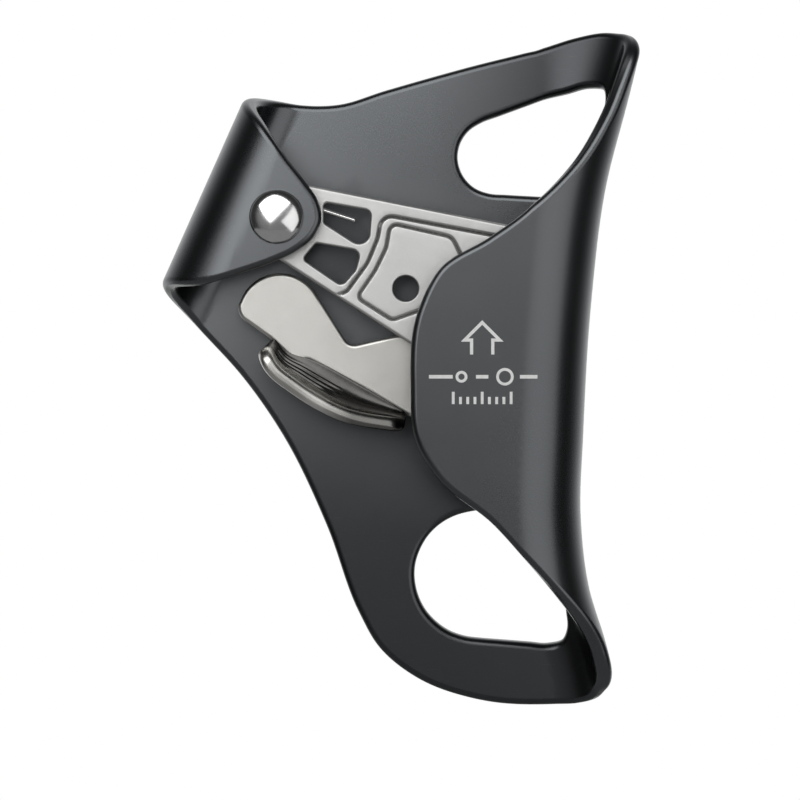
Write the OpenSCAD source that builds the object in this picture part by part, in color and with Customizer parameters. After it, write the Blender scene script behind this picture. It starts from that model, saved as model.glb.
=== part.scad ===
// Chest ascender: one sheet folded twice, a toothed cam on a rivet, and a finger trigger.
// Z runs up along the rope, -Y is the front, and +X points into the closed side of the rope
// channel. The origin is on the rope's axis, level with the cam axle and midway between the
// back plate and the front flaps.

/* [Sheet] */
// Thickness of the folded sheet
sheet_t = 3.3; // [3:0.1:3.5]
// Clear gap between the back plate and the front flaps
rope_gap = 15; // [15:0.1:15.6]

/* [Cam] */
// Camming angle of the toothed face, in degrees
cam_angle = 22; // [20:1:24]
// Height of one tooth
tooth_h = 1.1; // [0.8:0.1:1.1]
// Thickness of the cam's front web
web_t = 3; // [2.6:0.1:3]
// Radius of the cam's hub
hub_r = 7; // [6.8:0.1:7.2]

/* [Axle] */
// Radius of the rivet's shank
axle_r = 3; // [2.6:0.1:3]
// Radius of the rivet's domed head
head_r = 5.3; // [4.8:0.1:6]
// Height of the rivet's domed head
head_h = 2.4; // [1.6:0.1:2.6]

/* [Trigger] */
// Thickness of the trigger plate
trigger_t = 2.5; // [2.2:0.1:2.5]
// Radius of the trigger's pin
pin_r = 2; // [1.6:0.1:2]

/* [Springs] */
// Wire diameter of the cam spring
cam_wire = 0.9; // [0.7:0.1:0.9]
// Turns of the cam spring
cam_turns = 6; // [4:1:6]
// Wire diameter of the trigger spring
trigger_wire = 0.6; // [0.5:0.1:0.7]

/* [Hidden] */
$fn = 48;

inner_y = rope_gap / 2;
outer_y = inner_y + sheet_t;
mid_r = inner_y + sheet_t / 2;

// The cam axle, and the slanted axis that the left ear is folded about.
axle = [-47.6, 0];
ear_lean = 24;
ear_up = [sin(ear_lean), cos(ear_lean)];
ear_out = [-cos(ear_lean), sin(ear_lean)];
ear_tangent = 4.4;
ear_wrap = PI * mid_r;

// The closed side of the rope channel: its outermost line as [height, x], and how far the
// half round reaches sideways at each height. The half round is 31 mm long in the flat.
wrap = 31;
side_line = [[-95, 19], [-84, 16.6], [-72, 13], [-58, 11.4], [-42, 11.9], [-16, 13.5],
             [6, 16.3], [24, 20.9], [37, 24.1]];

// Free edge of the front flap, as [distance round the sheet, height], bottom to top.
flap_edge = [[11.6, -91.7], [16.2, -87.6], [19, -82.5], [22.5, -77.3], [28.9, -68.5], [35.8, -59.8],
             [46.8, -50.6], [51.4, -43], [52.6, -33], [51.8, -18], [48.1, -10], [38.8, -3.9],
             [31.9, 1.5], [25.4, 10], [21, 20], [18.8, 28], [17.5, 32], [14.5, 34.8], [10.6, 35.8]];
channel_foot = [[0, -94.9], [4.5, -94.4], [8.2, -93.5], [11.6, -91.7]];
channel_head = [[0, 32.9], [4, 34.8], [7.4, 36], [10.6, 35.8]];

// Edge of the cam ear, as [distance round the sheet, distance along the fold].
ear_edge = [[31.2, -12.9], [35.8, -8.6], [39.3, -4.6], [41.3, -0.4], [41.3, 3], [39.3, 6],
            [35.9, 8.2], [31, 10.8]];
ear_foot = [[31.2, -12.9], [25, -18], [14.3, -21.3], [3.7, -24.7], [0, -26.3]];
ear_head = [[31, 10.8], [22, 16], [14.3, 18.5], [5, 20.7], [0, 22]];

// Edges of the flat back plate between the two folds, from left to right.
plate_foot = [[-54.6, -30.7], [-46.5, -42.3], [-38, -59.8], [-31.5, -77.2], [-28, -83.3],
              [-21, -89.2], [-8, -93.9]];
plate_head = [[-35.7, 22], [-26.7, 24.7], [-10, 29.4]];

// The two eyes as belts round [x, height, radius] circles, in the flattened sheet.
upper_eye = [[-5.2, 11.9, 7.3], [8.5, 7.2, 3.4], [11.3, 22.1, 3.4]];
lower_eye = [[-8.4, -69.6, 12.5], [5.4, -79.3, 3.9], [4.2, -61, 5.5]];

// Depths along Y, front to back.
gap = 0.05;
washer_t = 1;
hub_y = inner_y - washer_t - 2 * gap;
web_y = -6.2;
web_back = web_y + web_t;
rim_y = 5.4;
trigger_y = -2.7;
trigger_back = trigger_y + trigger_t;

// Cam outline. The toothed face is a logarithmic spiral about the axle.
cam_reach = 54.6;
web_inset = 2.2;
rim_w = 8;
crown_y = 3.6;
top_dir = 10.9;
foot_dir = 32.9;
top_off = 7.2;
foot_off = 6.7;
bush_r = 3.5;
pocket_r = 4.8;
spring_slot = 1.6;

// Trigger pin and stop, from the origin.
pin_at = [-11.6, -24.5];
stop_at = [-19, -20.33];
stop_r = 1.2;
trigger_bush_r = 2.6;

// Cam spring: coil radius, and where its front leg leaves the coil and ends.
coil_r = 4.1;
coil_y = -2.3;
leg_from = 71.8;
leg_len = 14.4;
anchor_turn = 128;
anchor_r = 0.6;
anchor_y = outer_y - 1.2;
trigger_coil_r = 3.2;

// ---------- curves ----------

function unit(v) = v / norm(v);
function dirn(p, i) = unit(p[i + 1] - p[i]);
function slope(p, i) =
    i == 0 ? dirn(p, 0)
    : i == len(p) - 1 ? dirn(p, i - 1)
    : let (a = norm(p[i] - p[i - 1]), b = norm(p[i + 1] - p[i]))
      (dirn(p, i - 1) * b + dirn(p, i) * a) / (a + b);

// A smooth curve through the points, with k steps between each two of them.
function smooth(p, k = 6) = concat(
    [for (i = [0:len(p) - 2], j = [0:k - 1])
        let (t = j / k, d = norm(p[i + 1] - p[i]))
        p[i] * (2 * t^3 - 3 * t^2 + 1) + slope(p, i) * d * (t^3 - 2 * t^2 + t)
        + p[i + 1] * (3 * t^2 - 2 * t^3) + slope(p, i + 1) * d * (t^3 - t^2)],
    [p[len(p) - 1]]);

function run_lengths(p) =
    [for (i = 0, s = 0; i < len(p); s = s + (i < len(p) - 1 ? norm(p[i + 1] - p[i]) : 0), i = i + 1) s];

// The same curve at n equal steps.
function even(p, n) =
    let (s = run_lengths(p), total = s[len(s) - 1],
         xs = [for (i = [0:len(p) - 1]) [s[i], p[i][0]]],
         ys = [for (i = [0:len(p) - 1]) [s[i], p[i][1]]])
    [for (i = [0:n]) [lookup(total * i / n, xs), lookup(total * i / n, ys)]];

function arc(c, r, from, to, n = 12) =
    [for (i = [0:n]) let (a = from + (to - from) * i / n) [c[0] + r * cos(a), c[1] + r * sin(a)]];

// Angle at which the belt leaves circle a for circle b, both [x, y, radius].
function belt_angle(a, b) =
    let (d = [b[0] - a[0], b[1] - a[1]]) atan2(d[1], d[0]) - acos((a[2] - b[2]) / norm(d));
function turn_to(a, b) = a + (b - a - 360 * floor((b - a) / 360));

// Outline of a belt stretched round circles that are listed counter-clockwise.
function belt(c, n = 10) =
    [for (i = [0:len(c) - 1])
        let (prev = c[(i + len(c) - 1) % len(c)], next = c[(i + 1) % len(c)],
             from = belt_angle(prev, c[i]), to = turn_to(from, belt_angle(c[i], next)))
        each arc(c[i], c[i][2], from, to, n)];

// Outline of a polygon whose corners are [x, y, radius].
function rounded(c, n = 6) =
    [for (i = [0:len(c) - 1])
        let (b = [c[i][0], c[i][1]], p = c[(i + len(c) - 1) % len(c)], q = c[(i + 1) % len(c)],
             u = unit([p[0], p[1]] - b), v = unit([q[0], q[1]] - b),
             half = acos(u * v) / 2, r = c[i][2],
             m = b + unit(u + v) * r / sin(half),
             s = b + u * r / tan(half) - m, e = b + v * r / tan(half) - m,
             from = atan2(s[1], s[0]), d = atan2(e[1], e[0]) - from,
             to = from + d - 360 * round(d / 360))
        each arc(m, r, from, to, n)];

// ---------- folded sheet ----------

side_table = smooth(side_line, 8);
function side_x(z) = lookup(z, side_table);
function side_w(z) = 12.1 + 6.1 * exp((z - 30) / 20);
function tangent_x(z) = side_x(z) - side_w(z);

// A point of the channel side: v round the sheet from the fold's start, off across the sheet.
function side_point(v, z, off) =
    let (a = side_w(z) - sheet_t / 2, turn = 180 * max(0, min(1, v / wrap)),
         n = unit([mid_r * sin(turn), a * cos(turn)]))
    [tangent_x(z) + min(v, 0) + a * sin(turn) - max(0, v - wrap) + off * n[0],
     mid_r * cos(turn) + off * n[1], z];

// A point of the cam ear: v round the sheet, q along the fold's axis.
function ear_point(v, q, off) =
    let (turn = 180 * max(0, min(1, v / ear_wrap)),
         p = axle + ear_up * q
             + ear_out * (ear_tangent + (mid_r + off) * sin(turn) + min(v, 0) - max(0, v - ear_wrap)))
    [p[0], (mid_r + off) * cos(turn), p[1]];

function plate_point(x, z, off) = [x, mid_r + off, z];
function plate_xz(p) = [p[0], p[2]];

// Grid of points filled in between four edges. Columns run from left to right.
function patch(left, right, foot, head) =
    let (m = len(foot) - 1, n = len(left) - 1)
    [for (j = [0:m]) [for (i = [0:n])
        let (t = j / m, s = i / n)
        left[i] * (1 - t) + right[i] * t + foot[j] * (1 - s) + head[j] * s
        - left[0] * (1 - s) * (1 - t) - right[0] * (1 - s) * t
        - left[n] * s * (1 - t) - right[n] * s * t]];

rows = 26;
function steps(a, b, n) = [for (i = [0:n]) a + (b - a) * i / n];

ear_grid = patch(even(smooth(ear_edge), rows), steps(ear_foot[4], ear_head[4], rows),
                 even(smooth(ear_foot), 18), even(smooth(ear_head), 18));
side_grid = patch(steps(channel_foot[0], channel_head[0], rows), even(smooth(flap_edge), rows),
                  even(smooth(channel_foot), 24), even(smooth(channel_head), 24));
plate_left = [for (p = ear_grid[len(ear_grid) - 1]) plate_xz(ear_point(p[0], p[1], 0))];
plate_right = [for (p = side_grid[0]) plate_xz(side_point(p[0], p[1], 0))];
plate_grid = patch(plate_left, plate_right,
    even(smooth(concat([plate_left[0]], plate_foot, [plate_right[0]])), 14),
    even(smooth(concat([plate_left[rows]], plate_head, [plate_right[rows]])), 14));

function sheet_columns(off) = concat(
    [for (col = ear_grid) [for (p = col) ear_point(p[0], p[1], off)]],
    [for (j = [1:len(plate_grid) - 1]) [for (p = plate_grid[j]) plate_point(p[0], p[1], off)]],
    [for (j = [1:len(side_grid) - 1]) [for (p = side_grid[j]) side_point(p[0], p[1], off)]]);

function quad(a, b, c, d) = [[a, b, c], [a, c, d]];

// A closed slab between two grids of points, the outer one first.
module slab(outer, inner) {
    m = len(outer) - 1;
    n = len(outer[0]) - 1;
    k = (m + 1) * (n + 1);
    function at(j, i) = j * (n + 1) + i;
    polyhedron(
        points = concat([for (c = outer) each c], [for (c = inner) each c]),
        faces = concat(
            [for (j = [0:m - 1], i = [0:n - 1])
                each quad(at(j, i), at(j + 1, i), at(j + 1, i + 1), at(j, i + 1))],
            [for (j = [0:m - 1], i = [0:n - 1])
                each quad(k + at(j, i), k + at(j, i + 1), k + at(j + 1, i + 1), k + at(j + 1, i))],
            [for (j = [0:m - 1]) each quad(at(j + 1, 0), at(j, 0), k + at(j, 0), k + at(j + 1, 0))],
            [for (j = [0:m - 1]) each quad(at(j, n), at(j + 1, n), k + at(j + 1, n), k + at(j, n))],
            [for (i = [0:n - 1]) each quad(at(0, i), at(0, i + 1), k + at(0, i + 1), k + at(0, i))],
            [for (i = [0:n - 1]) each quad(at(m, i + 1), at(m, i), k + at(m, i), k + at(m, i + 1))]),
        convexity = 8);
}

// A plug that punches an outline square through the folded sheet.
module sheet_punch(outline, middle) {
    n = len(outline);
    reach = 6;
    function on(p, off) = side_point(p[0] - tangent_x(p[1]), p[1], off);
    polyhedron(
        points = concat([for (p = outline) on(p, reach)], [for (p = outline) on(p, -reach)],
                        [on(middle, reach), on(middle, -reach)]),
        faces = [for (i = [0:n - 1]) let (j = (i + 1) % n)
            each [[2 * n, i, j], [2 * n + 1, n + j, n + i], [j, i, n + i], [j, n + i, n + j]]],
        convexity = 4);
}

// Puts a drawing's X and Y on the ascender's X and Z, and its height between two depths.
module along_y(from, to) {
    translate([0, to, 0]) rotate([90, 0, 0]) linear_extrude(to - from) children();
}
module rod(at, r, from, to) {
    along_y(from, to) translate(at) circle(r);
}

// ---------- frame ----------

module frame() {
    sink_h = 1.3;
    color([0.2, 0.21, 0.22]) difference() {
        slab(sheet_columns(sheet_t / 2), sheet_columns(-sheet_t / 2));
        sheet_punch(belt(upper_eye), [2, 13]);
        sheet_punch(belt(lower_eye), [-5, -70]);
        rod(axle, axle_r + 0.02, -outer_y - 1, outer_y + 1);
        translate([axle[0], outer_y - sink_h, axle[1]]) rotate([-90, 0, 0])
            cylinder(h = sink_h + 0.4, r1 = axle_r + 0.02, r2 = axle_r + sink_h + 0.42);
        rod(anchor_at, anchor_r, inner_y - 1, anchor_y + 0.4);
    }
}

// ---------- rivet and washers ----------

// A turned piece on the axle, drawn as [radius, distance along Y].
module turned(at) {
    translate([at[0], 0, at[1]]) rotate([-90, 0, 0]) rotate_extrude() children();
}

module cam_axle() {
    crown = (head_r^2 + head_h^2) / (2 * head_h);
    open = asin(head_r / crown);
    dome = [for (i = [0:10]) let (a = open * i / 10)
        [crown * sin(a), -outer_y - head_h + crown * (1 - cos(a))]];
    color([0.85, 0.85, 0.86]) turned(axle) polygon(concat(dome,
        [[axle_r, -outer_y], [axle_r, outer_y - 1.3], [axle_r + 1.25, outer_y - 0.03], [0, outer_y - 0.03]]));
}

module washer(at, r_in, r_out, from, to) {
    along_y(from, to) translate(at) difference() {
        circle(r_out);
        circle(r_in);
    }
}

// Thrust washers are bevelled on the side where the sheet starts to bend.
module thrust_washer(r_in, r_flat, r_out, bevel, side) {
    outer = side * (inner_y - 2 * gap);
    turned(axle) polygon([[r_in, outer], [r_flat, outer], [r_out, outer - side * bevel],
                          [r_out, side * (hub_y + gap)], [r_in, side * (hub_y + gap)]]);
}

module front_thrust_washer() {
    color([0.8, 0.65, 0.35]) thrust_washer(axle_r + 0.05, 4.6, 6.4, 0.45, -1);
}

module rear_thrust_washer() {
    color([0.8, 0.65, 0.35]) thrust_washer(pocket_r + 0.1, 5, 6.8, 0.6, 1);
}

// ---------- cam ----------

function spiral_r(a) = cam_reach / cos(cam_angle) * exp(tan(cam_angle) * (a - cam_angle) * PI / 180);
function polar(r, a) = [r * cos(a), -r * sin(a)];

// Angles below the horizontal at which the cam's two straight edges meet a given radius.
function top_angle(r) = top_dir - asin(top_off / r);
function foot_angle(r) = foot_dir + asin(foot_off / r);
face_top = top_angle(spiral_r(3));
face_foot = foot_angle(spiral_r(39));

function face(inset, from = face_top, to = face_foot, n = 24) =
    [for (i = [0:n]) let (a = from + (to - from) * i / n) polar(spiral_r(a) - inset, a)];
function back(p) = [for (i = [len(p) - 1:-1:0]) p[i]];

// The arm, from the hub to the toothed face, about the axle.
function arm(inset) = concat(
    back(face(inset)),
    [top_off * [sin(top_dir), cos(top_dir)], [-3, 2], [-3, -3],
     -foot_off * [sin(foot_dir), cos(foot_dir)]]);

// The thick band behind the toothed face, a little short of the arm's two edges.
function rim(inset, width, margin) =
    concat(back(face(inset, face_top + margin, face_foot - margin)),
           face(inset + width, face_top + margin, face_foot - margin));

upper_window = [[9.1, 2.8, 0.7], [9.1, -1.2, 0.8], [17.7, -6.7, 2], [18.3, 1.2, 1.3]];
lower_window = [[5, -8.2, 0.8], [12.6, -13.4, 1.2], [15.3, -10.3, 2.4], [16.2, -6.6, 1.4],
                [7.6, -5.1, 0.7]];
// Outer and inner step of the relief panel.
outer_panel = [[10.3, -15.8, 1], [13.6, -14.4, 1.4], [17.6, -8.9, 8], [19.6, -4, 6], [20.3, 0.5, 2.4],
               [58, -6.6, 1], [54, -46, 1]];
inner_panel = [[15.5, -15.6, 1.2], [22.4, -20, 1.6], [31, -17, 2], [37, -10, 3], [34, -3.9, 2.5],
               [22, -1.2, 1.6], [21.2, -6, 5], [19, -10.5, 8]];

module tooth(a, y) {
    p = polar(spiral_r(a) - 0.3, a);
    translate([p[0], y, p[1]]) rotate([0, 90 + a - cam_angle, 0])
        cylinder(h = tooth_h + 0.3, r1 = 0.85, r2 = 0.12, $fn = 16);
}

module cam() {
    tooth_step = 3.3;
    color([0.72, 0.72, 0.72]) translate([axle[0], 0, axle[1]]) difference() {
        union() {
            along_y(web_y, web_back) polygon(arm(web_inset));
            along_y(web_back - 0.5, rim_y) polygon(rim(web_inset + 0.1, rim_w, 0.3));
            along_y(-crown_y, crown_y) polygon(rim(0, rim_w, 0.8));
            rod([0, 0], hub_r, -hub_y, hub_y);
            for (row = [0:9]) for (side = row % 2 == 0 ? [-2.4, 0, 2.4] : [-1.2, 1.2])
                tooth(face_top + 3 + row * tooth_step, side);
        }
        rod([0, 0], bush_r, -hub_y - 1, hub_y + 1);
        rod([0, 0], pocket_r, web_back, hub_y + 1);
        along_y(web_back, web_back + spring_slot) rotate(leg_from - 90)
            translate([0, coil_r - 0.8]) square([hub_r + 2, 1.6]);
        along_y(web_y - 1, web_back + 1) {
            polygon(rounded(upper_window));
            polygon(rounded(lower_window));
            translate([25, -13.9]) circle(2.5);
        }
        along_y(web_y - 1, web_y + 0.4) polygon(rounded(outer_panel));
        along_y(web_y - 1, web_y + 0.8) polygon(rounded(inner_panel));
        rod(pin_at - axle, pin_r, web_y - 1, web_back + 1);
        rod(stop_at - axle, stop_r, web_y + 1.4, web_back + 1);
    }
}

module cam_bush() {
    color([0.75, 0.6, 0.3]) washer(axle, axle_r + 0.04, bush_r, -hub_y, hub_y);
}

// ---------- springs ----------

// A round wire swept along a path of points.
module wire(path, r, sides = 8) {
    n = len(path);
    t = [for (i = [0:n - 1]) unit(path[min(i + 1, n - 1)] - path[max(i - 1, 0)])];
    start = unit(cross(t[0], [1, 1, 0]));
    u = [for (i = 0, v = start; i < n;
              i = i + 1, v = i < n ? unit(v - (v * t[i]) * t[i]) : v) v];
    polyhedron(
        points = [for (i = [0:n - 1], k = [0:sides - 1]) let (a = 360 * k / sides)
            path[i] + r * (cos(a) * u[i] + sin(a) * cross(t[i], u[i]))],
        faces = concat(
            [[for (k = [0:sides - 1]) k]],
            [for (i = [0:n - 2], k = [0:sides - 1])
                let (a = i * sides + k, b = i * sides + (k + 1) % sides)
                each quad(a, a + sides, b + sides, b)],
            [[for (k = [sides - 1:-1:0]) (n - 1) * sides + k]]),
        convexity = 12);
}

function coil_point(at, r, a, y) = [at[0] + r * cos(a), y, at[1] + r * sin(a)];

coil_total = 360 * cam_turns + anchor_turn;
coil_end_y = coil_y + (cam_wire + 0.08) * (cam_turns + anchor_turn / 360);
anchor_lead = 8;
anchor_angle = leg_from + anchor_turn + anchor_lead;
anchor_at = axle + coil_r * [cos(anchor_angle), sin(anchor_angle)];

// The front leg, the coil, and the rear leg that turns into the back plate.
function cam_spring_path() = let (
        start = coil_point(axle, coil_r, leg_from, coil_y),
        tip = start + leg_len * [sin(leg_from), 0, -cos(leg_from)],
        n = 14 * cam_turns + 5)
    concat(
        [tip, (tip + start) / 2],
        [for (i = [0:n]) let (t = i / n)
            coil_point(axle, coil_r, leg_from + coil_total * t, coil_y + (coil_end_y - coil_y) * t)],
        [for (y = [coil_end_y + 0.5, coil_end_y + 1.2, anchor_y])
            coil_point(axle, coil_r, leg_from + coil_total + anchor_lead, y)]);

module cam_spring() {
    color([0.8, 0.8, 0.82]) wire(cam_spring_path(), cam_wire / 2);
}

trigger_leg_at = 200;
trigger_turns = 3;
function trigger_spring_path() = let (
        y0 = trigger_back + 0.2 + trigger_wire / 2,
        pitch = trigger_wire + 0.06,
        total = 360 * trigger_turns + 150,
        y1 = y0 + pitch * total / 360,
        last = trigger_leg_at + total,
        n = 12 * trigger_turns + 5,
        end = coil_point(pin_at, trigger_coil_r, last, y1))
    concat(
        [for (y = [trigger_back - 1.2, trigger_back - 0.2, y0 - 0.25])
            coil_point(pin_at, trigger_coil_r, trigger_leg_at - 8, y)],
        [for (i = [0:n]) let (t = i / n)
            coil_point(pin_at, trigger_coil_r, trigger_leg_at + total * t, y0 + (y1 - y0) * t)],
        [end + 4 * [-sin(last), 0, cos(last)], end + 8 * [-sin(last), 0, cos(last)]]);

module trigger_spring() {
    color([0.8, 0.8, 0.82]) wire(trigger_spring_path(), trigger_wire / 2);
}

// ---------- trigger ----------

spacer_y = trigger_back + 3.2;

module trigger_pin() {
    color([0.75, 0.75, 0.76]) turned(pin_at) polygon(
        [[0, web_y + 1], [pin_r, web_y + 1], [pin_r, spacer_y + 0.7], [pin_r + 1.2, spacer_y + 0.7],
         [pin_r + 0.8, spacer_y + 1.4], [0, spacer_y + 1.6]]);
}

module trigger_bush() {
    color([0.75, 0.6, 0.3]) washer(pin_at, pin_r + 0.04, trigger_bush_r, web_back + gap, spacer_y - gap);
}

module trigger_washer() {
    color([0.8, 0.65, 0.35]) washer(pin_at, pin_r + 0.02, 4.2, spacer_y, spacer_y + 0.68);
}

module trigger_stop_pin() {
    color([0.75, 0.75, 0.76]) rod(stop_at, stop_r, web_y + 1.45, trigger_back);
}

lobe = [-47, -19.1];
lobe_r = 8.2;
boss_r = 4.5;
trigger_outline = concat(
    arc([-52, -17.6], 3.1, 163.3, 242.4),
    [[-48.6, -23.8], [-45, -27.2], [-42.6, -27.9], [-41.6, -27.6], [-31.5, -33], [-21.6, -38.8]],
    arc([-15.6, -32.2], 5.6, -118, -30, 8),
    arc(pin_at, boss_r, -8, 104.4),
    arc([-32.55, -22.6], 2.2, -75.6, -142.3, 6),
    arc(lobe, lobe_r, 37.7, 163.3, 20));

// The finger tab: it leaves the plate's lower edge and curls forward.
tab_root = [[-48.3, -23.4], [-44.9, -26.4], [-41, -27.6], [-31.5, -32.6], [-22.5, -38]];
tab_tip = [[-50.4, -25.6], [-48.7, -29.2], [-44.2, -33], [-34.5, -38.4], [-22.8, -40.6]];
tab_t = 2.2;
function tab_depth(t) = 9.3 - 5.4 * t^2.2;

function tab_columns(off) =
    let (m = 14, n = 7, r = even(smooth(tab_root), m), e = even(smooth(tab_tip), m))
    [for (j = [0:m]) [for (i = [0:n])
        let (d = e[j] - r[j], a = 90 * i / n, h = tab_depth(j / m),
             w = unit([h * sin(a), norm(d) * cos(a)]),
             u = unit(d), p = r[j] + d * sin(a) + off * w[0] * u)
        [p[0], trigger_y + trigger_t / 2 - h * (1 - cos(a)) + off * w[1], p[1]]]];

module trigger() {
    spring_leg = coil_point(pin_at, trigger_coil_r, trigger_leg_at - 8, 0);
    color([0.78, 0.77, 0.74]) union() {
        difference() {
            along_y(trigger_y, trigger_back) polygon(trigger_outline);
            rod(pin_at, trigger_bush_r + 0.04, trigger_y - 1, trigger_back + 1);
            rod([spring_leg[0], spring_leg[2]], 0.5, trigger_back - 1.6, trigger_back + 1);
        }
        slab(back(tab_columns(tab_t / 2)), back(tab_columns(-tab_t / 2)));
    }
}

frame();
cam_axle();
front_thrust_washer();
rear_thrust_washer();
cam();
cam_bush();
cam_spring();
trigger_pin();
trigger_bush();
trigger_washer();
trigger_stop_pin();
trigger_spring();
trigger();
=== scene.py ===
"""Looks of the chest ascender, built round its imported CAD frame. Shapes are in millimetres."""
import math

import bpy
import numpy as np
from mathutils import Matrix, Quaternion, Vector, geometry


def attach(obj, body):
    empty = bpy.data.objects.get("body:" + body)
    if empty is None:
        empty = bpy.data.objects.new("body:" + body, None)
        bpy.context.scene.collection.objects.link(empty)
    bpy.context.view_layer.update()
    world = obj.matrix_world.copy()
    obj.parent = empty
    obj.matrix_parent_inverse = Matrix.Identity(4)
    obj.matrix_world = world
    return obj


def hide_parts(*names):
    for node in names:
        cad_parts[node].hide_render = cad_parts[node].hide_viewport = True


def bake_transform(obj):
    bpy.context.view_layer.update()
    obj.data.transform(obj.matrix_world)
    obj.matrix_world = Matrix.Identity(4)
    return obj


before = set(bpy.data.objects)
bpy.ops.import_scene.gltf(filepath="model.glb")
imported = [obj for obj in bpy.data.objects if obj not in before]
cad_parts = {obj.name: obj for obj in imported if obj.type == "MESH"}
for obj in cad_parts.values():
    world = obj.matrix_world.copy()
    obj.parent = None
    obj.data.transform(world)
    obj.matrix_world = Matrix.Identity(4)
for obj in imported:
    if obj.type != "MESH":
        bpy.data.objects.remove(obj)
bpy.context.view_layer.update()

MM = 0.001

# ---------- sizes, in millimetres, in the part's own frame ----------

SHEET = 3.3
INNER = 7.5
OUTER = INNER + SHEET
MID = INNER + SHEET / 2
AXLE = np.array([-47.6, 0.0])
LEAN = math.radians(24)
EAR_UP = np.array([math.sin(LEAN), math.cos(LEAN)])
EAR_OUT = np.array([-math.cos(LEAN), math.sin(LEAN)])
EAR_TANGENT = 4.4
EAR_WRAP = math.pi * MID
SIDE_WRAP = 31.0
SHEET_EDGE = 1.25
BORE_EDGE = 0.3
EYE_LEANS = (0.4, 0.6)

SIDE_LINE = [(-95, 19), (-84, 16.6), (-72, 13), (-58, 11.4), (-42, 11.9), (-16, 13.5),
             (6, 16.3), (24, 20.9), (37, 24.1)]
FLAP_EDGE = [(11.6, -91.7), (16.2, -87.6), (19, -82.5), (22.5, -77.3), (28.9, -68.5),
             (35.8, -59.8), (46.8, -50.6), (51.4, -43), (52.6, -33), (51.8, -18), (48.1, -10),
             (38.8, -3.9), (31.9, 1.5), (25.4, 10), (21, 20), (18.8, 27.6), (17.3, 31.3),
             (14.3, 34.1), (10.8, 35.6)]
CHANNEL_FOOT = [(0, -94.7), (4.5, -94.4), (8.2, -93.5)]
CHANNEL_HEAD = [(7.4, 35.93), (4, 35.05), (0, 32.95)]
EAR_EDGE = [(31, 10.8), (35.9, 8.2), (39.3, 6), (41.3, 3), (41.3, -0.4), (39.3, -4.6),
            (35.8, -8.6), (31.2, -12.9)]
EAR_FOOT = [(25, -18), (14.3, -21.3), (3.7, -24.7), (0, -26.3)]
EAR_HEAD = [(0, 22), (5, 20.7), (14.3, 18.5), (22, 16)]
PLATE_FOOT = [(-54.6, -30.7), (-46.5, -42.3), (-38, -59.8), (-31.5, -77.2), (-28, -83.3),
              (-21, -89.2), (-8, -93.9)]
PLATE_HEAD = [(-10, 29.4), (-26.7, 24.7), (-35.7, 22)]
UPPER_EYE = [(-5.2, 11.9, 7.3), (8.5, 7.2, 3.4), (11.3, 22.1, 3.4)]
LOWER_EYE = [(-8.4, -69.6, 12.5), (5.4, -79.3, 3.9), (4.2, -61, 5.5)]

GAP = 0.05
WASHER = 1.0
HUB_Y = INNER - WASHER - 2 * GAP
HUB_R = 7.0
WEB_START_R = HUB_R - 1.7
BUSH_R = 3.5
POCKET_R = 4.8
AXLE_R = 3.0
AXLE_TAIL_R = AXLE_R + 1.2
HEAD_R = 5.3
HEAD_H = 2.4
WEB_Y = -6.2
WEB_T = 3.0
WEB_BACK = WEB_Y + WEB_T
RIM_Y = 5.4
CROWN_Y = 3.6
TRIGGER_Y = -2.7
TRIGGER_T = 2.5
TRIGGER_BACK = TRIGGER_Y + TRIGGER_T
SPACER_Y = TRIGGER_BACK + 3.2

CAM_REACH = 54.6
CAM_ANGLE = math.radians(22)
WEB_INSET = 2.2
RIM_W = 8.0
TOP_DIR = math.radians(10.9)
FOOT_DIR = math.radians(32.9)
TOP_OFF = 7.2
FOOT_OFF = 6.7
TOOTH_H = 1.1
TOOTH_ROWS = 10
TOOTH_ROW_STEP = 3.3
TOOTH_ACROSS = 2.4
UPPER_WINDOW = [(9.1, 2.8, 0.7), (9.1, -1.2, 0.8), (17.7, -6.7, 2), (18.3, 1.2, 1.3)]
LOWER_WINDOW = [(5, -8.2, 0.8), (12.6, -13.4, 1.2), (15.3, -10.3, 2.4), (16.2, -6.6, 1.4),
                (7.6, -5.1, 0.7)]
CAM_HOLE = (25, -13.9, 2.5)
OUTER_PANEL = [(10.3, -15.8, 1), (13.6, -14.4, 1.4), (17.6, -8.9, 8), (19.6, -4, 6),
               (20.3, 0.5, 2.4), (58, -6.6, 1), (54, -46, 1)]
INNER_PANEL = [(15.5, -15.6, 1.2), (22.4, -20, 1.6), (31, -17, 2), (37, -10, 3),
               (34, -3.9, 2.5), (22, -1.2, 1.6), (21.2, -6, 5), (19, -10.5, 8)]
PANEL_STEPS = [(OUTER_PANEL, 0.2, 1.0), (INNER_PANEL, 0.25, 0.85)]
STEP_W = 0.5
GROOVE_W = 0.25

PIN = np.array([-11.6, -24.5])
STOP = np.array([-19, -20.33])
PIN_R = 2.0
PIN_BUSH_R = 2.6
STOP_R = 1.2
COIL_R = 4.1
COIL_Y = -2.3
COIL_WIRE = 0.9
COIL_TURNS = 6
LEG_FROM = math.radians(71.8)
LEG_LEN = 14.4
ANCHOR_TURN = math.radians(128)
ANCHOR_Y = OUTER - 1.2
PIN_COIL_R = 3.2
PIN_WIRE = 0.6
PIN_TURNS = 3
PIN_LEG_AT = math.radians(200)

LOBE = (-47, -19.1, 8.2)
TAB_ROOT = [(-48.3, -23.4), (-44.9, -26.4), (-41, -27.6), (-31.5, -32.6), (-22.5, -38)]
TAB_TIP = [(-50.4, -25.6), (-48.7, -29.2), (-44.2, -33), (-34.5, -38.4), (-22.8, -40.6)]
TAB_T = 2.8
TAB_L = 33.0
TAB_B = 11.0
TAB_HIGH = 9.3
TAB_FALL = 5.4
RIDGE_STEP = 1.15
RIDGE_H = 0.16

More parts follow.
